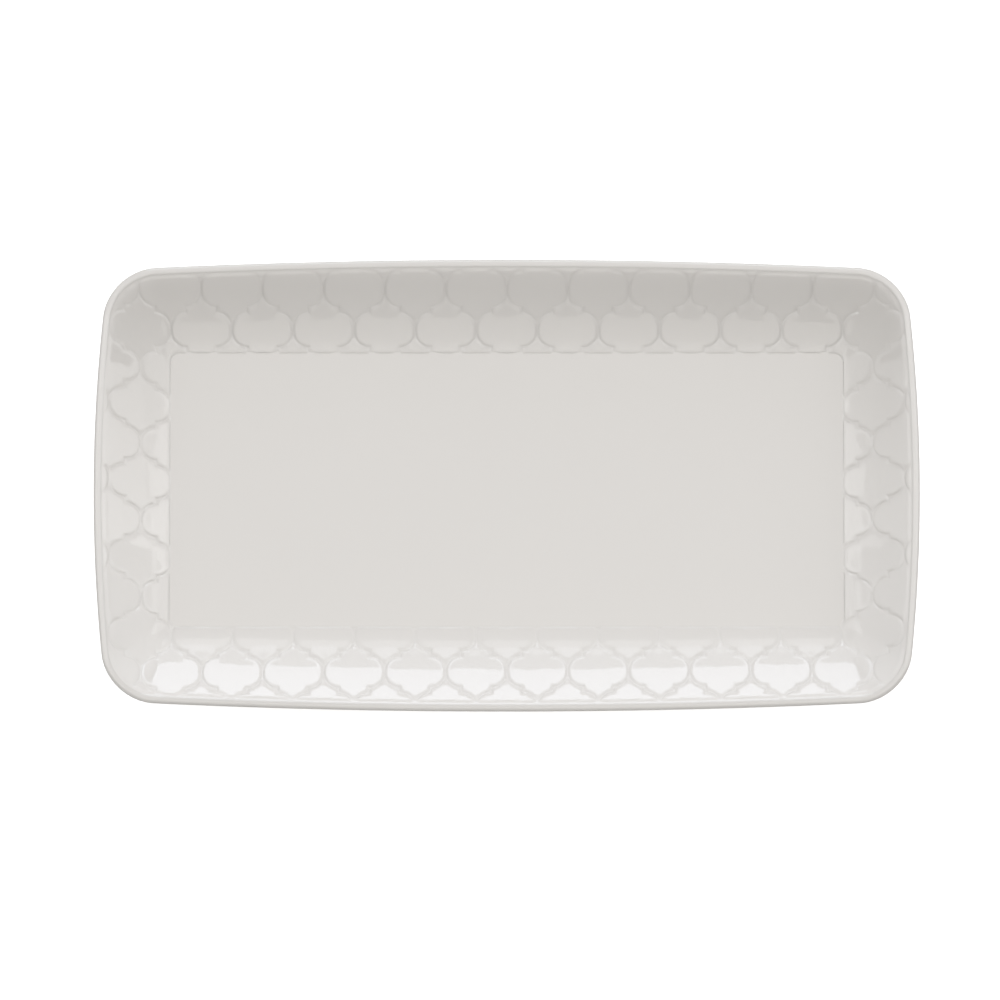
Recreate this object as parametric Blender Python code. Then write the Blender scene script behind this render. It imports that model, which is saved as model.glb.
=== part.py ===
"""A rectangular china serving platter: one fired porcelain body and the glaze fused over it.

The body is a flat rectangular well with a flared wall, a rounded lip and a dry foot ring.
The glaze is two separate skins of glass, because the foot ring is wiped bare before firing:
one covers the well, the wall, the lip and the back, and one the base inside the foot ring.

Metres, +Z up, +X along the platter. The origin is on the table, under the middle.
"""

import math

import bmesh
import bpy
import numpy as np
from mathutils import Vector

# Overall size of the glazed ware
LENGTH = 0.356
WIDTH = 0.196
HEIGHT = 0.028

# The rim in plan: a rounded rectangle whose four sides swell outwards
RIM_CORNER_RADIUS = 0.021
END_BOW = 0.0056
SIDE_BOW = 0.0044

# The flat well, a true rectangle in plan
WELL_LENGTH = 0.2915
WELL_WIDTH = 0.1195
WELL_CORNER_RADIUS = 0.004

# The clay
FLOOR_THICKNESS = 0.0040
LIP_THICKNESS = 0.0024
START_SLOPE_SHARE = 0.45  # of the wall's mean slope, where it leaves the well

# The foot ring, which stands on the table and stays unglazed
FOOT_HEIGHT = 0.0032
FOOT_INSET = 0.0100  # from the edge of the well to the outside of the bearing face
FOOT_WIDTH = 0.0035
FOOT_TAPER = 0.0010  # each flank leans by this much from the base down to the table
FOOT_CORNER_RADIUS = 0.0120

# The glaze
GLAZE_THICKNESS = 0.00035
GLAZE_GAP = 0.0003  # clearance between the two meshes, where the real glaze is fused on
GLAZE_STOP = 0.0010  # the glaze on the foot's outer flank ends this far above the table

# Colours and roughnesses of the bare and the glazed china
BARE_COLOUR = (0.80, 0.78, 0.74)
BARE_ROUGHNESS = 0.75
GLAZED_COLOUR = (0.83, 0.81, 0.78)
GLAZED_ROUGHNESS = 0.10

# How finely the outline and the section are divided
END_STEPS = 3
CORNER_STEPS = 8
SIDE_STEPS = 6
WALL_STEPS = 7
LIP_STEPS = 8
SHARP_ANGLE = math.radians(40)  # edges sharper than this are shaded as creases

SKIN = GLAZE_GAP + GLAZE_THICKNESS
BASE_Z = FOOT_HEIGHT  # the underside of the clay, inside and outside the foot ring
MID_FLOOR_Z = BASE_Z + FLOOR_THICKNESS / 2
LIP_RADIUS = LIP_THICKNESS / 2
LIP_CENTRE_Z = HEIGHT - SKIN - LIP_RADIUS
LIP_INSET = SKIN + LIP_RADIUS  # from the rim's outermost line in to the middle of the lip


def clear_scene():
    for obj in list(bpy.data.objects):
        bpy.data.objects.remove(obj, do_unlink=True)


def china(name, colour, roughness):
    material = bpy.data.materials.new(name)
    material.use_nodes = True
    shader = material.node_tree.nodes["Principled BSDF"]
    shader.inputs["Base Color"].default_value = (*colour, 1.0)
    shader.inputs["Roughness"].default_value = roughness
    shader.inputs["Metallic"].default_value = 0.0
    return material


def outline(length, width, corner_radius, end_bow=0.0, side_bow=0.0):
    """Points round a rectangle with round corners, counter-clockwise from +X.

    The bow moves a point outwards by a parabola along each side, so the middle of an end
    stands out by end_bow, the middle of a long side by side_bow, and the corners stay put.
    """
    a = length / 2 - end_bow
    b = width / 2 - side_bow
    end = [(a, (b - corner_radius) * i / END_STEPS) for i in range(END_STEPS)]
    corner = [
        (
            a - corner_radius + corner_radius * math.cos(angle),
            b - corner_radius + corner_radius * math.sin(angle),
        )
        for angle in np.linspace(0, math.pi / 2, CORNER_STEPS + 1)
    ]
    side = [((a - corner_radius) * (1 - i / SIDE_STEPS), b) for i in range(1, SIDE_STEPS + 1)]
    quarter = np.array(end + corner + side)
    x = quarter[:, 0] * (1 + end_bow / a * (1 - (quarter[:, 1] / b) ** 2))
    y = quarter[:, 1] * (1 + side_bow / b * (1 - (quarter[:, 0] / a) ** 2))
    first = np.column_stack([x, y])
    second = first[-2::-1] * (-1, 1)
    half = np.vstack([first, second])
    return np.vstack([half, half[1:-1] * (-1, -1)])


def grown(length, width, corner_radius, by):
    """The same unbowed outline moved outwards by a distance all round, inwards if negative."""
    return outline(length + 2 * by, width + 2 * by, corner_radius + by)


def ring(plan, z):
    """A plan outline lifted to one height, or to a height for each of its points."""
    return np.column_stack([plan, np.full(len(plan), z) if np.isscalar(z) else z])


WELL = outline(WELL_LENGTH, WELL_WIDTH, WELL_CORNER_RADIUS)
LIP = outline(
    LENGTH - 2 * LIP_INSET,
    WIDTH - 2 * LIP_INSET,
    RIM_CORNER_RADIUS - LIP_INSET,
    END_BOW,
    SIDE_BOW,
)


def wall_ring(share, side, spread):
    """One ring on a face of the wall.

    The wall's middle surface runs from the edge of the well, share 0, to the middle of the
    lip, share 1, and rises as a parabola. The clay thins evenly from the floor to the lip.
    side is 1 for the face that holds the food and -1 for the back, and spread is how far
    beyond the clay the ring lies, measured square to the middle surface.
    """
    run = LIP - WELL
    reach = np.linalg.norm(run, axis=1)
    rise = LIP_CENTRE_Z - MID_FLOOR_Z
    height = rise * (START_SLOPE_SHARE * share + (1 - START_SLOPE_SHARE) * share**2)
    steepness = START_SLOPE_SHARE + 2 * (1 - START_SLOPE_SHARE) * share
    slope = rise * steepness / reach if share > 0 else np.zeros(len(reach))
    half_thickness = (FLOOR_THICKNESS * (1 - share) + LIP_THICKNESS * share) / 2 + spread
    out = -side * half_thickness * slope / np.hypot(1, slope)
    up = side * half_thickness / np.hypot(1, slope)
    plan = WELL + run * share + run / reach[:, None] * out[:, None]
    return ring(plan, MID_FLOOR_Z + height + up)


def lip_rings(spread):
    """The round edge of the lip, a half turn from the back of the wall over to its face."""
    run = LIP - WELL
    reach = np.linalg.norm(run, axis=1)
    rise = LIP_CENTRE_Z - MID_FLOOR_Z
    slope_angle = np.arctan(rise * (2 - START_SLOPE_SHARE) / reach)
    rings = []
    for turn in np.linspace(-math.pi / 2, math.pi / 2, LIP_STEPS + 1)[1:-1]:
        angle = slope_angle + turn
        out = (LIP_RADIUS + spread) * np.cos(angle)
        up = (LIP_RADIUS + spread) * np.sin(angle)
        rings.append(ring(LIP + run / reach[:, None] * out[:, None], LIP_CENTRE_Z + up))
    return rings


def foot_ring(z, outward, spread):
    """One ring on a flank of the foot. outward is 1 for its outer flank and -1 for its inner."""
    lean = FOOT_TAPER * z / FOOT_HEIGHT
    inset = FOOT_INSET if outward > 0 else FOOT_INSET + FOOT_WIDTH
    by = outward * (lean + spread)
    length = WELL_LENGTH - 2 * inset
    width = WELL_WIDTH - 2 * inset
    corner = FOOT_CORNER_RADIUS - (inset - FOOT_INSET)
    return ring(grown(length, width, corner, by), z)


def foot_to_well(spread, foot_stop):
    """Every ring of one offset of the ware, from the foot's outer flank round the lip to the well.

    spread is how far beyond the clay the rings lie, and foot_stop the height of the first one.
    """
    shares = np.linspace(0, 1, WALL_STEPS + 1)
    rings = [foot_ring(foot_stop, 1, spread), foot_ring(BASE_Z - spread, 1, spread)]
    rings += [wall_ring(share, -1, spread) for share in shares]
    rings += lip_rings(spread)
    rings += [wall_ring(share, 1, spread) for share in shares[::-1]]
    return rings


def loft(name, rings, material):
    """A closed solid whose skin runs through each ring in turn, with a flat face at both ends."""
    mesh = bmesh.new()
    loops = [[mesh.verts.new(Vector(point)) for point in points] for points in rings]
    count = len(loops[0])
    mesh.faces.new(loops[0])
    mesh.faces.new(loops[-1])
    for lower, upper in zip(loops, loops[1:]):
        for i in range(count):
            j = (i + 1) % count
            mesh.faces.new((lower[i], lower[j], upper[j], upper[i]))
    bmesh.ops.recalc_face_normals(mesh, faces=mesh.faces)
    data = bpy.data.meshes.new(name)
    mesh.to_mesh(data)
    mesh.free()
    data.shade_smooth()
    data.set_sharp_from_angle(angle=SHARP_ANGLE)
    data.materials.append(material)
    obj = bpy.data.objects.new(name, data)
    platter.objects.link(obj)
    return obj


def build_body(material):
    """The fired clay: base, foot ring, back, lip, wall and well in one closed skin."""
    base_and_inner_flank = [foot_ring(BASE_Z, -1, 0), foot_ring(0, -1, 0)]
    return loft("china_body", base_and_inner_flank + foot_to_well(0, 0), material)


def build_main_glaze(material):
    """The glaze over the foot's outer flank, the back, the lip, the wall and the well.

    It is one open skin with a thickness: in along the clay from the well to the foot, and out
    again along the face that shows.
    """
    against_clay = foot_to_well(GLAZE_GAP, GLAZE_STOP)
    showing = foot_to_well(SKIN, GLAZE_STOP)
    return loft("glaze_face_and_back", against_clay[::-1] + showing, material)


def build_base_glaze(material):
    """The separate patch of glaze inside the foot ring: the base, and the foot's inner flank."""
    against_clay = [foot_ring(BASE_Z - GLAZE_GAP, -1, GLAZE_GAP), foot_ring(GLAZE_STOP, -1, GLAZE_GAP)]
    showing = [foot_ring(GLAZE_STOP, -1, SKIN), foot_ring(BASE_Z - SKIN, -1, SKIN)]
    return loft("glaze_base", against_clay + showing, material)


clear_scene()
platter = bpy.data.collections.new("china_serving_platter")
bpy.context.scene.collection.children.link(platter)
bare_china = china("bare_china", BARE_COLOUR, BARE_ROUGHNESS)
glazed_china = china("glazed_china", GLAZED_COLOUR, GLAZED_ROUGHNESS)
build_body(bare_china)
build_main_glaze(glazed_china)
build_base_glaze(glazed_china)
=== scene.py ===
import math

import bmesh
import bpy
import numpy as np
from mathutils import Matrix, Vector


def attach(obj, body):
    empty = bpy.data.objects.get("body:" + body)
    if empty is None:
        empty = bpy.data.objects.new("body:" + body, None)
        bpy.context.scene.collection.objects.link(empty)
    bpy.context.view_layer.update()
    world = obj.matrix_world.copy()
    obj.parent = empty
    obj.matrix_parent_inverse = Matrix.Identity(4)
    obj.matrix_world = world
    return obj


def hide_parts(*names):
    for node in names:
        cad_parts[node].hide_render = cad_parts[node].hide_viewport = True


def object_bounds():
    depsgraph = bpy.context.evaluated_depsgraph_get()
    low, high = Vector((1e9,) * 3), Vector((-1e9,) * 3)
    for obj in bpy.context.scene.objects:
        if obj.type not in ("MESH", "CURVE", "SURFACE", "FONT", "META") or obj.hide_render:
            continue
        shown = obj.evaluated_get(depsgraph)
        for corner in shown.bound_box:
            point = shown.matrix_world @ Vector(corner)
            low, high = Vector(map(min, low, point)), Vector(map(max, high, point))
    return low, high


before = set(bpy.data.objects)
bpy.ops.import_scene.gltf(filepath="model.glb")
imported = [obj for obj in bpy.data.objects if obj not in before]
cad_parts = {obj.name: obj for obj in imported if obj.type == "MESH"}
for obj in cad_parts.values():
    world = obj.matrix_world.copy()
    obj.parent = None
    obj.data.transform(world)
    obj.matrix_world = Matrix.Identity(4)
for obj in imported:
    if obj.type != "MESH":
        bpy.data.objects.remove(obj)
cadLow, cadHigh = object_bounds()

# A china serving platter: fired clay, the glaze over its face and back, and the glaze on its base.
# Metres, +X along the platter, +Y away from the viewer, +Z up, the table at zero.

ware = {
    "rimCorner": 0.021,  # radius of the rim's corners in plan
    "endBow": 0.0056,  # how far the middle of an end swells past its corners
    "sideBow": 0.0044,  # the same for a long side
    "wellLength": 0.2915,
    "wellWidth": 0.1195,
    "wellCorner": 0.004,
    "floorThickness": 0.0040,
    "lipThickness": 0.0024,
    "startSlopeShare": 0.45,  # of the wall's mean slope, where it leaves the well
    "filletShare": 0.05,  # share of the wall's width over which it turns up from the floor
    "glazeThickness": 0.00035,
    "glazeGap": 0.0003,
    "endShare": 0.275,  # of a quarter of the outline, up to the corner
    "sideShare": 0.615,  # of a quarter of the outline, past the corner
}

foot = {
    "height": 0.0032,
    "inset": 0.0100,  # from the well's edge in to the outside of the bearing face
    "width": 0.0035,
    "taper": 0.0010,
    "corner": 0.0120,
    "edgeRound": 0.0007,  # the sponged edges of the bearing face
    "glazeStop": 0.0010,  # height at which the glaze ends on the flanks
    "pool": 0.0009,  # radius of the glaze pooled where the foot meets the base
    "hiddenPool": 0.0003,  # the same radius on the faces that lie against each other
}

lattice = {
    "pitch": 0.02638,  # from tile to tile along the platter
    "draw": 0.045,  # how fast, per metre, the columns draw together towards the viewer
    "rowGap": 0.0166,  # from row to row, alternate rows shifted by half a pitch
    "rowPhase": 0.0031,  # where a row with a tile on the middle line lies across the platter
    "lean": 0.005,  # how much the rows on the near wall lean away to the right
    "leanWidth": 0.08,  # how far towards the viewer the lean has grown to its full amount
    "tip": 0.0160,  # from a tile's middle to its pointed end
    "step": 0.0022,  # height of the notch in each shoulder
    "cut": 0.0024,  # how far from a notch the groove keeps its corners square
    "raise": 0.00056,  # how far the tiles stand out of the wall
    "grooveReach": 0.00088,  # from the middle of a groove to the edge of a tile's top
    "grooveRound": 0.00012,  # how widely the glaze rounds the bottom of a groove
    "crispness": 3.2,  # how tightly the side of a groove turns into the tile's top
    "edgeReach": 0.00072,  # the same reach at the well and below the lip
    "edgeCrispness": 8,  # the same crispness there
    "lipGlow": 0.0022,  # how far down from the lip light spreads through the china
    "lipLift": 1.2,  # how strongly the china there is shaded as if it faced up
    "liftStart": 0.1,  # share of the lip's turn at which that starts
    "liftGain": 3,  # how fast it grows over the rest of the turn
    "lipStart": 0.982,  # share of the wall at which the tiles end
}

skin = ware["glazeGap"] + ware["glazeThickness"]
baseZ = foot["height"]
midFloorZ = baseZ + ware["floorThickness"] / 2
lipRadius = ware["lipThickness"] / 2
lipInset = skin + lipRadius
length, width, height = (cadHigh - cadLow)[:]
lipZ = height - skin - lipRadius
rise = lipZ - midFloorZ


# A rectangle with round corners, met once round by t from 0 to 4, a quarter at a time from
# the middle of the +X end. A parabola then swells each side: the middle of an end by endBow and
# the middle of a side by sideBow, and the corners by nothing.
def outline(t, outLength, outWidth, corner, endBow=0.0, sideBow=0.0):
    quarter = np.floor(t).astype(int) % 4
    f = t - np.floor(t)
    f = np.where(quarter % 2 == 1, 1 - f, f)
    a = outLength / 2 - endBow
    b = outWidth / 2 - sideBow
    onEnd = np.clip(f / ware["endShare"], 0, 1)
    cornerShare = 1 - ware["endShare"] - ware["sideShare"]
    angle = np.clip((f - ware["endShare"]) / cornerShare, 0, 1) * math.pi / 2
    onSide = np.clip((f - 1 + ware["sideShare"]) / ware["sideShare"], 0, 1)
    x = (a - corner) * (1 - onSide) + corner * np.cos(angle)
    y = (b - corner) * onEnd + corner * np.sin(angle)
    bowedX = x * (1 + endBow / a * (1 - (y / b) ** 2))
    bowedY = y * (1 + sideBow / b * (1 - (x / a) ** 2))
    signX = np.where((quarter == 1) | (quarter == 2), -1, 1)
    signY = np.where(quarter >= 2, -1, 1)
    return np.stack([bowedX * signX, bowedY * signY], axis=-1)


def wellOutline(t, grow=0.0):
    return outline(
        t,
        ware["wellLength"] + 2 * grow,
        ware["wellWidth"] + 2 * grow,
        ware["wellCorner"] + grow,
    )


def lipOutline(t):
    return outline(
        t,
        length - 2 * lipInset,
        width - 2 * lipInset,
        ware["rimCorner"] - lipInset,
        ware["endBow"],
        ware["sideBow"],
    )


# Plan points lifted to one height, or to a height for each.
def joined(plan, z):
    return np.concatenate([plan, np.broadcast_to(z, plan.shape[:-1])[..., None]], axis=-1)


# The wall's middle surface leaves the floor level, turns up over the fillet, and climbs as a
# parabola in share, the way across the wall from 0 at the well to 1 at the middle of the lip.
def wallSlope(t, share):
    run = lipOutline(t) - wellOutline(t)
    reach = np.linalg.norm(run, axis=-1)
    a = ware["startSlopeShare"]
    d = ware["filletShare"]
    whole = 1 - d * (1 - math.exp(-1 / d))
    climb = (share - d * (1 - np.exp(-share / d))) / whole
    steep = (1 - np.exp(-share / d)) / whole
    h = rise * (a * climb + (1 - a) * share**2)
    slope = rise / reach * (a * steep + 2 * (1 - a) * share)
    return run, reach, h, slope


# A face of the wall: the middle surface moved square to itself by half the clay's thickness,
# which thins evenly to the lip, and by spread. side is 1 for the face and -1 for the back.
def wallFace(t, share, side, spread):
    run, reach, h, slope = wallSlope(t, share)
    lean = np.hypot(1, slope)
    thick = (ware["floorThickness"] * (1 - share) + ware["lipThickness"] * share) / 2 + spread
    outward = run / reach[..., None]
    inward = outward * (side * thick * slope / lean)[..., None]
    plan = wellOutline(t) + run * share[..., None] - inward
    return joined(plan, midFloorZ + h + side * thick / lean)


# The lip: half a circle about the top of the middle surface, from the back (turn 0) to the face
# (turn 1).
def lipFace(t, turn, spread):
    run, reach, _, slope = wallSlope(t, np.ones_like(t))
    angle = np.arctan(slope) + (turn - 0.5) * math.pi
    radius = lipRadius + spread
    plan = lipOutline(t) + run / reach[..., None] * (radius * np.cos(angle))[..., None]
    return joined(plan, lipZ + radius * np.sin(angle))


# A flank of the foot: the well's outline drawn in by the inset, leaning out by the taper.
# outward is 1 for the outer flank and -1 for the inner one.
def footOutline(t, z, outward, spread):
    lean = foot["taper"] * z / foot["height"]
    inset = foot["inset"] if outward > 0 else foot["inset"] + foot["width"]
    by = outward * (lean + spread)
    plan = outline(
        t,
        ware["wellLength"] - 2 * inset + 2 * by,
        ware["wellWidth"] - 2 * inset + 2 * by,
        foot["corner"] - (inset - foot["inset"]) + by,
    )
    return joined(plan, z)


# The groove between a tile and its neighbour half a pitch along and one row on, in the quarter
# cell between their middles: straight up the tile's side, a quarter of an ellipse in to the
# notch, straight up the notch, and the same ellipse turned half round, up to the tile's tip.
def groovePath():
    p, r, tip, step = (lattice[k] for k in ("pitch", "rowGap", "tip", "step"))
    turn = np.linspace(0, math.pi / 2, 16)
    low = r - tip
    notch = r / 2 - step / 2
    x = p / 4 + p / 4 * np.cos(turn)
    y = low + (notch - low) * np.sin(turn)
    half = np.stack([np.append(p / 2, x), np.append(0, y)], axis=-1)
    return np.concatenate([half, (p / 2, r) - half[::-1]])


# How far each point is from the nearest groove, and the way from that groove to the point.
# The lattice repeats, and mirrors about every tile's middle, so all points fold into one cell.
# Near a notch the distance is measured square, by an eighth-power mean of its two parts, which
# keeps the notch's corners sharp on both sides of the groove.
def toGroove(x, y):
    p, r = lattice["pitch"], lattice["rowGap"]
    spread = x / (1 + lattice["draw"] * y)
    fx = spread - p * np.round(spread / p)
    fy = y - lattice["rowPhase"] - lattice["lean"] * x * np.clip(-y / lattice["leanWidth"], 0, 1)
    fy = fy - 2 * r * np.round(fy / (2 * r))
    point = np.stack([np.abs(fx), np.abs(fy)], axis=-1)
    square = np.exp(-((np.linalg.norm(point - (p / 4, r / 2), axis=-1) / lattice["cut"]) ** 4))
    path = groovePath()
    best = np.full(x.shape, np.inf)
    away = np.zeros(point.shape)
    for start, end in zip(path, path[1:]):
        along = end - start
        share = np.clip(((point - start) @ along) / (along @ along + 1e-18), 0, 1)
        gap = point - start - share[..., None] * along
        plain = np.linalg.norm(gap, axis=-1)
        boxed = (gap**8).sum(-1) ** (1 / 8)
        distance = plain + (boxed - plain) * square
        even = gap / np.maximum(plain, 1e-9)[..., None]
        blocky = (gap / np.maximum(boxed, 1e-9)[..., None]) ** 7
        way = even + (blocky - even) * square[..., None]
        nearer = distance < best
        best = np.where(nearer, distance, best)
        away = np.where(nearer[..., None], way, away)
    return best, away * np.stack([np.where(fx < 0, -1, 1), np.where(fy < 0, -1, 1)], axis=-1)


# A tile's edge: its side is straight, but for the glaze that rounds its foot, and blends into the
# level top: x over the n-th root of one plus x to the n, where x is the distance in reaches and n
# the crispness. It gives the share of the full height, and how fast that share grows.
def shoulder(distance, reach, n):
    r = lattice["grooveRound"]
    x = (np.sqrt(distance**2 + r**2) - r) / reach
    steepness = distance / np.sqrt(distance**2 + r**2) / reach
    return x / (1 + x**n) ** (1 / n), steepness / (1 + x**n) ** (1 + 1 / n)


# The tiles end at the well and below the lip with the same kind of edge.
def tileEnds(share, reach):
    edge = (lattice["edgeReach"], lattice["edgeCrispness"])
    fromWell, wellSlope = shoulder(share * reach, *edge)
    fromLip, lipSlope = shoulder(np.maximum(lattice["lipStart"] - share, 0) * reach, *edge)
    return fromWell * fromLip, wellSlope * fromLip - fromWell * lipSlope


# Draws the grid's points in towards the grooves, so that the grooves' sides get most of them:
# a point at distance d moves to keep * d + (1 - keep) * d cubed over span squared, and less
# within the margin at the well and at the lip.
def drawnIn(t, share, keep=0.45, span=0.0055, margin=0.08):
    plan = wallFace(t, share, 1, skin)[..., :2]
    distance, away = toGroove(plan[..., 0], plan[..., 1])
    near = np.clip(distance, 0, span)
    shift = keep * near + (1 - keep) * near**3 / span**2 - near
    ends = np.clip(share / margin, 0, 1) * np.clip((1 - share) / margin, 0, 1)
    wanted = away * (shift * ends)[..., None]
    dt = 1e-4  # a small step along the outline
    overShare = lipOutline(t) - wellOutline(t)
    ahead = wallFace(t + dt, share, 1, skin)[..., :2]
    behind = wallFace(t - dt, share, 1, skin)[..., :2]
    overT = (ahead - behind) / (2 * dt)
    cross = overShare[..., 0] * overT[..., 1] - overShare[..., 1] * overT[..., 0]
    moveShare = (wanted[..., 0] * overT[..., 1] - wanted[..., 1] * overT[..., 0]) / cross
    moveT = (overShare[..., 0] * wanted[..., 1] - overShare[..., 1] * wanted[..., 0]) / cross
    return t + moveT, np.clip(share + moveShare, 0, 1)


# The embossed face of the wall: the smooth face moved square to itself by the relief. It also
# gives the way the relief faces, from the slope of the relief across and along the wall, and the
# way the smooth wall faces, which turns up near the lip, as light spreads through its thin edge.
def embossedFace(t, share):
    smooth = wallFace(t, share, 1, skin)
    run, reach, _, slope = wallSlope(t, share)
    lean = np.hypot(1, slope)
    outward = run / reach[..., None]
    distance, away = toGroove(smooth[..., 0], smooth[..., 1])
    tile, steepness = shoulder(distance, lattice["grooveReach"], lattice["crispness"])
    ends, endSlope = tileEnds(share, reach)
    h = lattice["raise"] * tile * ends
    plan = smooth[..., :2] - outward * (h * slope / lean)[..., None]
    points = joined(plan, smooth[..., 2] + h / lean)
    sideways = np.stack([-outward[..., 1], outward[..., 0]], axis=-1)
    over = lattice["raise"] * (steepness * ends * (away * outward).sum(-1) + tile * endSlope) / lean
    along = lattice["raise"] * steepness * ends * (away * sideways).sum(-1)
    wallWay = joined(-outward * (slope / lean)[..., None], 1 / lean)
    uphill = joined(outward / lean[..., None], slope / lean)
    glow = np.exp(-(1 - share) * reach / lattice["lipGlow"])[..., None]
    chinaWay = wallWay + glow * (0, 0, lattice["lipLift"])
    chinaWay = chinaWay / np.linalg.norm(chinaWay, axis=-1, keepdims=True)
    level = joined(sideways, np.zeros_like(slope))
    glassWay = wallWay - uphill * over[..., None] - level * along[..., None]
    return points, glassWay / np.linalg.norm(glassWay, axis=-1, keepdims=True), chinaWay


# Faces between two rings of points. Where one has a whole number of times as many points as the
# other, a fan of triangles meets each of the fewer points.
def between(startA, countA, startB, countB):
    if countA == countB:
        i = np.arange(countA)
        j = (i + 1) % countA
        return [np.stack([startA + i, startA + j, startB + j, startB + i], axis=-1)]
    flip = countA < countB
    fineStart, fine, coarseStart, coarse = (
        (startB, countB, startA, countA) if flip else (startA, countA, startB, countB)
    )
    k = fine // coarse
    i = np.arange(fine)
    owner = (i + k - k // 2) // k % coarse
    fan = np.stack([fineStart + i, fineStart + (i + 1) % fine, coarseStart + owner], axis=-1)
    c = np.arange(coarse)
    middle = fineStart + c * k + k // 2
    bridge = np.stack([middle, coarseStart + (c + 1) % coarse, coarseStart + c], axis=-1)
    faces = np.concatenate([fan, bridge])
    return [faces[:, ::-1] if flip else faces]


# A closed skin through a list of rings, capped at both ends, as one object. facings holds the
# ways that the points face for shading, which the glaze's material reads.
def ringsToPiece(name, rings, material, nodes, facings=None, sharpAngle=50):
    counts = [len(r) for r in rings]
    starts = np.concatenate([[0], np.cumsum(counts)[:-1]]).astype(int)
    faces = []
    for k in range(len(rings) - 1):
        faces += between(starts[k], counts[k], starts[k + 1], counts[k + 1])
    faces.append((starts[0] + np.arange(counts[0]))[None, ::-1])
    faces.append((starts[-1] + np.arange(counts[-1]))[None, :])
    points = np.concatenate(rings).astype(np.float32)
    data = bpy.data.meshes.new(name)
    data.vertices.add(len(points))
    data.vertices.foreach_set("co", points.ravel())
    corners = np.concatenate([f.ravel() for f in faces]).astype(np.int32)
    sizes = np.concatenate([np.full(len(f), f.shape[1]) for f in faces])
    data.loops.add(len(corners))
    data.loops.foreach_set("vertex_index", corners)
    data.polygons.add(len(sizes))
    loopStarts = np.concatenate([[0], np.cumsum(sizes)[:-1]]).astype(np.int32)
    data.polygons.foreach_set("loop_start", loopStarts)
    data.polygons.foreach_set("loop_total", sizes.astype(np.int32))
    data.update(calc_edges=True)
    data.validate()
    for key, facing in (facings or {}).items():
        layer = data.attributes.new(key, "FLOAT_VECTOR", "POINT")
        layer.data.foreach_set("vector", facing.astype(np.float32).ravel())
    mesh = bmesh.new()
    mesh.from_mesh(data)
    bmesh.ops.recalc_face_normals(mesh, faces=mesh.faces)
    mesh.to_mesh(data)
    mesh.free()
    data.shade_smooth()
    data.set_sharp_from_angle(angle=math.radians(sharpAngle))
    data.materials.append(material)
    piece = bpy.data.objects.new(name, data)
    bpy.context.scene.collection.objects.link(piece)
    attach(piece, "root")
    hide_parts(*nodes)
    triangles = int((sizes - 2).sum())
    print(name, len(points), "points,", triangles, "triangles")
    return piece


def shaderIn(material):
    material.use_nodes = True
    return material.node_tree, material.node_tree.nodes["Principled BSDF"]


def addNode(tree, kind, **settings):
    node = tree.nodes.new(kind)
    for key, value in settings.items():
        if key in node.inputs:
            node.inputs[key].default_value = value
        else:
            setattr(node, key, value)
    return node


glazeLook = {
    "colour": (0.80, 0.775, 0.745),
    "darkest": 0.985,  # the uneven tone's darkest, as a share of the colour
    "cloudScale": 14.0,
    "cloudDetail": 2.0,
    "roughness": 0.05,
    "ior": 1.52,
    "reliefSeen": 0.14,  # how much of the relief shows through in the china's own shading
    "waveSize": 0.010,
    "waveDetail": 1.0,
    "waveHeight": 0.00009,
}

bareLook = {
    "dark": (0.70, 0.67, 0.62),
    "light": (0.82, 0.80, 0.76),
    "grainScale": 2600.0,
    "grainDetail": 3.0,
    "grainStrength": 0.6,
    "grainHeight": 0.00005,
    "roughness": 0.8,
}


# The way the surface faces at a point, scaled, plus the way stored with the mesh, if any. With
# no scale given it is one less the length of the stored way, so that a full stored way wins.
def blendedFacing(tree, key, scale):
    shape = addNode(tree, "ShaderNodeNewGeometry")
    stored = addNode(tree, "ShaderNodeAttribute", attribute_name=key)
    scaled = addNode(tree, "ShaderNodeVectorMath", operation="SCALE")
    if scale is None:
        size = addNode(tree, "ShaderNodeVectorMath", operation="LENGTH")
        rest = addNode(tree, "ShaderNodeMath", operation="SUBTRACT")
        rest.inputs[0].default_value = 1.0001  # just over one, so that the sum is never nothing
        tree.links.new(stored.outputs["Vector"], size.inputs[0])
        tree.links.new(size.outputs["Value"], rest.inputs[1])
        tree.links.new(rest.outputs["Value"], scaled.inputs["Scale"])
    else:
        scaled.inputs["Scale"].default_value = scale
    total = addNode(tree, "ShaderNodeVectorMath", operation="ADD")
    unit = addNode(tree, "ShaderNodeVectorMath", operation="NORMALIZE")
    tree.links.new(shape.outputs["Normal"], scaled.inputs[0])
    tree.links.new(scaled.outputs["Vector"], total.inputs[0])
    tree.links.new(stored.outputs["Vector"], total.inputs[1])
    tree.links.new(total.outputs["Vector"], unit.inputs[0])
    return unit.outputs["Vector"]


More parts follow.
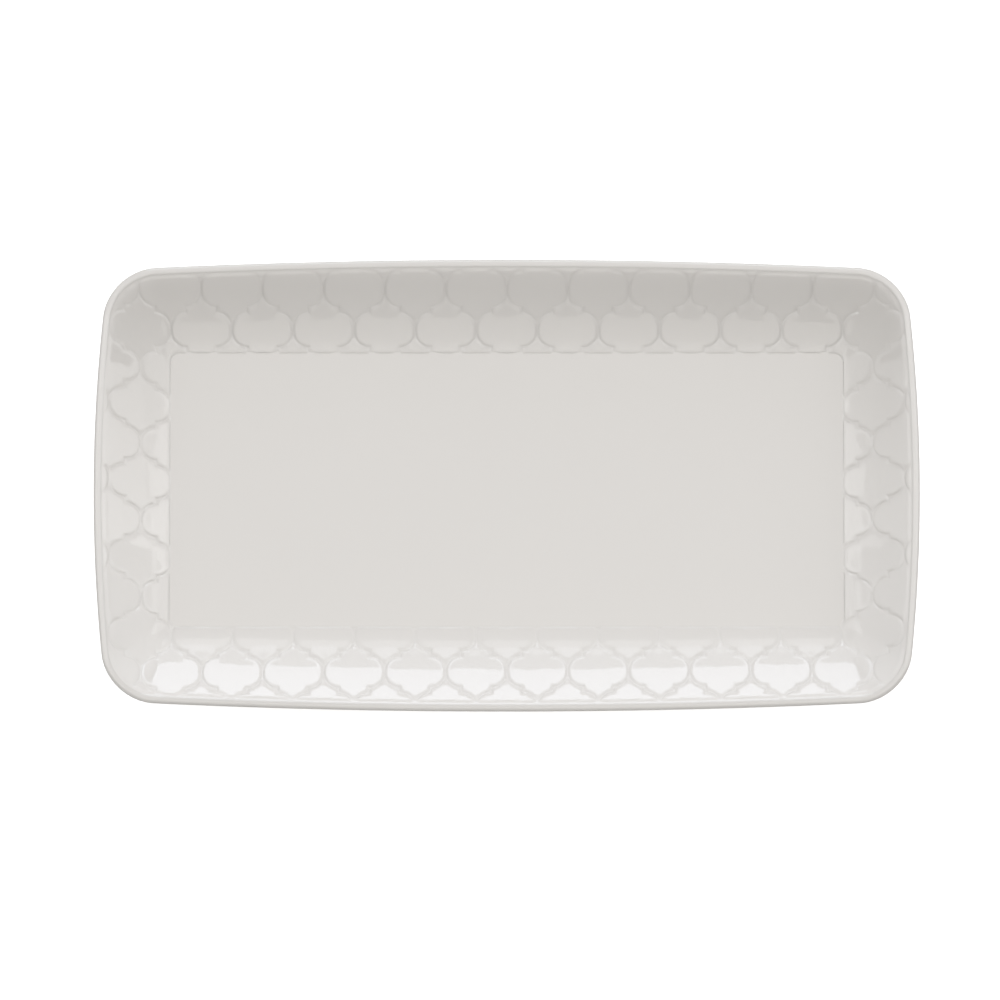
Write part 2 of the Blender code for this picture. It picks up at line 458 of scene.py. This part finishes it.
# Clear glaze on white china: a faint unevenness in tone, and long low waves left by the melt.
# The glass shines with every turn of the relief. The china under it, through which light
# spreads, is shaded mostly as the smooth wall.
def glazedChina():
    material = bpy.data.materials.new("glazedChina")
    tree, shader = shaderIn(material)
    place = addNode(tree, "ShaderNodeTexCoord")
    cloud = addNode(tree, "ShaderNodeTexNoise", Scale=glazeLook["cloudScale"])
    cloud.inputs["Detail"].default_value = glazeLook["cloudDetail"]
    tree.links.new(place.outputs["Object"], cloud.inputs["Vector"])
    ramp = addNode(tree, "ShaderNodeValToRGB")
    base = glazeLook["colour"]
    ramp.color_ramp.elements[0].color = (*[c * glazeLook["darkest"] for c in base], 1)
    ramp.color_ramp.elements[1].color = (*base, 1)
    tree.links.new(cloud.outputs["Fac"], ramp.inputs["Fac"])
    tree.links.new(ramp.outputs["Color"], shader.inputs["Base Color"])
    chinaFacing = blendedFacing(tree, "wallFacing", glazeLook["reliefSeen"])
    tree.links.new(chinaFacing, shader.inputs["Normal"])
    wave = addNode(tree, "ShaderNodeTexNoise", Scale=1 / glazeLook["waveSize"])
    wave.inputs["Detail"].default_value = glazeLook["waveDetail"]
    tree.links.new(place.outputs["Object"], wave.inputs["Vector"])
    bump = addNode(tree, "ShaderNodeBump", Strength=1.0, Distance=glazeLook["waveHeight"])
    tree.links.new(wave.outputs["Fac"], bump.inputs["Height"])
    tree.links.new(blendedFacing(tree, "glassFacing", None), bump.inputs["Normal"])
    tree.links.new(bump.outputs["Normal"], shader.inputs["Coat Normal"])
    shader.inputs["Coat Weight"].default_value = 1.0
    shader.inputs["Coat Roughness"].default_value = glazeLook["roughness"]
    shader.inputs["Coat IOR"].default_value = glazeLook["ior"]
    shader.inputs["Specular IOR Level"].default_value = 0.0
    shader.inputs["Roughness"].default_value = 1.0
    return material


# Bare fired china: dry, fine-grained, slightly darker and warmer than the glazed ware.
def bareChina():
    material = bpy.data.materials.new("bareChina")
    tree, shader = shaderIn(material)
    place = addNode(tree, "ShaderNodeTexCoord")
    grain = addNode(tree, "ShaderNodeTexNoise", Scale=bareLook["grainScale"])
    grain.inputs["Detail"].default_value = bareLook["grainDetail"]
    tree.links.new(place.outputs["Object"], grain.inputs["Vector"])
    ramp = addNode(tree, "ShaderNodeValToRGB")
    ramp.color_ramp.elements[0].color = (*bareLook["dark"], 1)
    ramp.color_ramp.elements[1].color = (*bareLook["light"], 1)
    tree.links.new(grain.outputs["Fac"], ramp.inputs["Fac"])
    tree.links.new(ramp.outputs["Color"], shader.inputs["Base Color"])
    bump = addNode(tree, "ShaderNodeBump", Strength=bareLook["grainStrength"])
    bump.inputs["Distance"].default_value = bareLook["grainHeight"]
    tree.links.new(grain.outputs["Fac"], bump.inputs["Height"])
    tree.links.new(bump.outputs["Normal"], shader.inputs["Normal"])
    shader.inputs["Roughness"].default_value = bareLook["roughness"]
    return material


glazed = glazedChina()
bare = bareChina()

fineness = {
    "fineColumns": 1536,  # round the embossed wall
    "columns": 384,  # round everything else that shows
    "hiddenColumns": 192,  # round the faces that lie against each other
    "wallRings": 52,
    "lipRings": 10,
    "backRings": 10,
    "backCloser": 1.4,  # the power that draws the back's rings towards the foot
    "poolRings": 4,
    "edgeRings": 6,  # round each edge of the bearing face, and round the base's pooled glaze
    "hiddenDetail": 0.5,  # of those numbers, on the faces that lie against each other
    "hiddenWallRings": 8,
    "floorInsets": (0.0008, 0.004),  # rings on the floor, in from the well's edge
    "underInset": 0.003,  # the ring on the level underside, in from the well's edge
    "baseInset": 0.002,  # the last ring on the base, in from the pooled glaze
}

fineT = np.arange(fineness["fineColumns"]) * 4 / fineness["fineColumns"]
plainT = np.arange(fineness["columns"]) * 4 / fineness["columns"]
hiddenT = np.arange(fineness["hiddenColumns"]) * 4 / fineness["hiddenColumns"]


def flatRing(outlinePoints, z):
    return joined(outlinePoints, np.full(len(outlinePoints), z))


# The foot's outer flank from the glaze's end, the pooled fillet, the level underside, the back
# and the lip, up to where the embossed wall begins.
def underAndBack(t, spread, pool, detail=1.0):
    flatZ = baseZ - spread
    turns = np.linspace(0, math.pi / 2, 2 + round(fineness["poolRings"] * detail))
    rings = [footOutline(t, z, 1, spread) for z in np.linspace(foot["glazeStop"], flatZ - pool, 3)]
    for turn in turns[1:]:
        grow = pool * (1 - math.cos(turn))
        rings.append(footOutline(t, flatZ - pool * (1 - math.sin(turn)), 1, spread + grow))
    rings.append(flatRing(wellOutline(t, -fineness["underInset"]), flatZ))
    even = np.linspace(0, 1, round(fineness["backRings"] * detail) + 1)
    for share in even ** fineness["backCloser"]:
        rings.append(wallFace(t, np.full_like(t, share), -1, spread))
    for turn in np.linspace(0, 1, round(fineness["lipRings"] * detail) + 1)[1:-1]:
        rings.append(lipFace(t, np.full_like(t, turn), spread))
    return rings


# The wall's rings from the lip to the well, evenly spread but for both ends, where an
# exponential draws them closer together.
def wallShares(closer=0.75, span=0.05):
    even = np.linspace(1, 0, fineness["wallRings"] + 2)
    drawn = even + closer * span * (np.exp(-even / span) - np.exp(-(1 - even) / span))
    return ((drawn - drawn[-1]) / (drawn[0] - drawn[-1]))[1:-1]


# The main glaze: in along the clay from the well to the foot, and out again along the face that
# shows. The points before and after the embossed wall face as the mesh does, but for the lip's.
def buildMainGlaze():
    shown = underAndBack(plainT, skin, foot["pool"])
    lipStarts = sum(len(r) for r in shown) - (fineness["lipRings"] - 1) * len(plainT)
    shown.append(wallFace(plainT, np.ones_like(plainT), 1, skin))
    plain = sum(len(r) for r in shown)
    glassWays = []
    wallWays = []
    for share in wallShares():
        t, s = drawnIn(fineT, np.full_like(fineT, share))
        points, glassWay, wallWay = embossedFace(t, s)
        shown.append(points)
        glassWays.append(glassWay)
        wallWays.append(wallWay)
    floorZ = midFloorZ + ware["floorThickness"] / 2 + skin
    floor = [flatRing(wellOutline(fineT), floorZ)]
    for inset in fineness["floorInsets"]:
        floor.append(flatRing(wellOutline(plainT, -inset), floorZ))
    hidden = underAndBack(hiddenT, ware["glazeGap"], foot["hiddenPool"], fineness["hiddenDetail"])
    for share in np.linspace(1, 0, fineness["hiddenWallRings"]):
        hidden.append(wallFace(hiddenT, np.full_like(hiddenT, share), 1, ware["glazeGap"]))
    before = np.zeros((sum(len(r) for r in hidden) + plain, 3))
    lipShare = np.linspace(0, 1, fineness["lipRings"] + 1)[1:]
    beforeChina = before.copy()
    lift = np.clip((lipShare - lattice["liftStart"]) * lattice["liftGain"], 0, 1)
    beforeChina[lipStarts - plain :, 2] = np.repeat(lift, len(plainT))
    after = np.zeros((sum(len(r) for r in floor), 3))
    facings = {
        "glassFacing": np.concatenate([before, *glassWays, after]),
        "wallFacing": np.concatenate([beforeChina, *wallWays, after]),
    }
    rings = hidden[::-1] + shown + floor
    nodes = ["glaze_face_and_back"]
    return ringsToPiece("glazeFaceAndBack", rings, glazed, nodes, facings)


# The clay: the base, the foot with sponged edges, and the underside, back, lip, wall and well.
def buildBody():
    edge = foot["edgeRound"]
    rings = [flatRing(footOutline(plainT, baseZ, -1, 0)[:, :2], baseZ)]
    turns = np.linspace(0, math.pi / 2, fineness["edgeRings"])
    for outward, way in ((-1, turns), (1, turns[::-1])):
        for turn in way:
            z = edge * (1 - math.sin(turn))
            rings.append(footOutline(plainT, z, outward, -edge * (1 - math.cos(turn))))
    rings.append(footOutline(plainT, foot["glazeStop"], 1, 0))
    rings += underAndBack(hiddenT, 0, foot["hiddenPool"], fineness["hiddenDetail"])[1:]
    for share in np.linspace(1, 0, fineness["hiddenWallRings"]):
        rings.append(wallFace(hiddenT, np.full_like(hiddenT, share), 1, 0))
    return ringsToPiece("chinaBody", rings, bare, ["china_body"])


# The glaze inside the foot: down along the clay of the inner flank, and back up past its pool.
def buildBaseGlaze():
    against = [
        footOutline(plainT, baseZ - ware["glazeGap"], -1, ware["glazeGap"]),
        footOutline(plainT, foot["glazeStop"], -1, ware["glazeGap"]),
    ]
    flatZ = baseZ - skin
    pool = foot["pool"]
    levels = np.linspace(foot["glazeStop"], flatZ - pool, 4)
    shown = [footOutline(plainT, z, -1, skin) for z in levels]
    for turn in np.linspace(0, math.pi / 2, fineness["edgeRings"])[1:]:
        grow = pool * (1 - math.cos(turn))
        shown.append(footOutline(plainT, flatZ - pool * (1 - math.sin(turn)), -1, skin + grow))
    shown.append(footOutline(plainT, flatZ, -1, skin + pool + fineness["baseInset"]))
    rings = against + shown
    return ringsToPiece("glazeBase", rings, glazed, ["glaze_base"])


print("building the body")
buildBody()
print("building the glaze")
buildMainGlaze()
buildBaseGlaze()

studio = {
    "worldStrength": 0.035,
    "tableSize": 3,
    "tableTone": 0.9,
    "tableRoughness": 0.9,
    "tableGlow": 0.45,  # the table's own light, which pales the platter's shadow on it
    "lampDistance": 2.5,
    "cameraElevation": 83.4,
    "cameraDistance": 4.0,
    "sensorWidth": 36,
    "frameWidth": 0.4305,  # what the camera takes in at the height of the rim
    "aim": (-0.0029, -0.0067),
}

# Softboxes all round: azimuth from +X towards +Y and elevation of the middle, width and height,
# all in degrees as seen from the platter, brightness against white paper, and tint.
softboxes = {
    "farFoot": (90, 5, 30, 10, 3.2, (0.93, 0.98, 1.08)),
    "farStrip": (90, 15.5, 30, 11, 3.3, (0.93, 0.98, 1.08)),
    "farFade": (90, 23, 30, 4, 0.95, (0.95, 0.99, 1.06)),
    "farGap": (90, 28, 36, 6, 0.9, (0.95, 0.99, 1.06)),
    "farHaze": (90, 34, 36, 6, 2.1, (0.95, 0.99, 1.06)),
    "farTop": (90, 40, 36, 6, 1.2, (0.98, 1.0, 1.02)),
    "overhead": (90, 90, 24, 22, 0.9, (1.01, 1.0, 0.98)),
    "nearHigh": (270, 67, 40, 16, 1.2, (1.02, 1.0, 0.96)),
    "nearRoof": (270, 50, 40, 18, 0.9, (1.03, 1.0, 0.95)),
    "rightWall": (0, 15, 38, 30, 1.75),
    "rightRoof": (0, 44, 38, 28, 1.35),
    "rightHigh": (0, 69, 24, 22, 1.15),
    "leftWall": (180, 15, 38, 30, 1.0),
    "leftRoof": (180, 44, 38, 28, 1.05),
    "leftHigh": (180, 69, 24, 22, 1.5),
    "rightCorner": (45, 20, 50, 40, 0.62),
    "rightSlope": (25, 50, 40, 30, 1.0),
    "leftCorner": (135, 20, 50, 40, 0.55),
    "leftSlope": (155, 50, 40, 30, 1.2),
}


def buildTable():
    mesh = bmesh.new()
    bmesh.ops.create_grid(mesh, x_segments=1, y_segments=1, size=studio["tableSize"])
    data = bpy.data.meshes.new("table")
    mesh.to_mesh(data)
    mesh.free()
    table = bpy.data.objects.new("table", data)
    material = bpy.data.materials.new("paleTable")
    tree, shader = shaderIn(material)
    tone = studio["tableTone"]
    shader.inputs["Base Color"].default_value = (tone, tone, tone, 1)
    shader.inputs["Roughness"].default_value = studio["tableRoughness"]
    shader.inputs["Specular IOR Level"].default_value = 0.0
    shader.inputs["Emission Color"].default_value = (1, 1, 1, 1)
    shader.inputs["Emission Strength"].default_value = studio["tableGlow"]
    data.materials.append(material)
    bpy.context.scene.collection.objects.link(table)


# A panel that faces the platter. Its power follows from the brightness wanted and its area.
def softbox(name, azimuth, elevation, wide, high, brightness, tint=(1, 1, 1)):
    distance = studio["lampDistance"]
    lamp = bpy.data.lights.new(name, "AREA")
    lamp.shape = "RECTANGLE"
    lamp.size = 2 * distance * math.tan(math.radians(wide / 2))
    lamp.size_y = 2 * distance * math.tan(math.radians(high / 2))
    lamp.energy = brightness * math.pi * lamp.size * lamp.size_y
    lamp.color = tint
    obj = bpy.data.objects.new(name, lamp)
    a = math.radians(azimuth)
    e = math.radians(elevation)
    away = Vector((math.cos(a) * math.cos(e), math.sin(a) * math.cos(e), math.sin(e)))
    turned = away.to_track_quat("Z", "Y").to_matrix().to_4x4()
    obj.matrix_world = Matrix.Translation(away * distance) @ turned
    bpy.context.scene.collection.objects.link(obj)


def buildLight():
    world = bpy.data.worlds.new("studio")
    world.use_nodes = True
    world.node_tree.nodes["Background"].inputs["Color"].default_value = (1, 1, 1, 1)
    world.node_tree.nodes["Background"].inputs["Strength"].default_value = studio["worldStrength"]
    bpy.context.scene.world = world
    for name, values in softboxes.items():
        softbox(name, *values)


def buildCamera():
    camera = bpy.data.cameras.new("camera")
    camera.sensor_width = studio["sensorWidth"]
    camera.lens = studio["sensorWidth"] * studio["cameraDistance"] / studio["frameWidth"]
    camera.clip_end = 20
    obj = bpy.data.objects.new("camera", camera)
    elevation = math.radians(studio["cameraElevation"])
    aim = Vector((studio["aim"][0], studio["aim"][1], height))
    place = aim + studio["cameraDistance"] * Vector((0, -math.cos(elevation), math.sin(elevation)))
    turned = (aim - place).to_track_quat("-Z", "Y").to_matrix().to_4x4()
    obj.matrix_world = Matrix.Translation(place) @ turned
    bpy.context.scene.collection.objects.link(obj)
    bpy.context.scene.camera = obj


print("setting the table, the light and the camera")
buildTable()
buildLight()
buildCamera()
bpy.context.scene.view_settings.view_transform = "Standard"
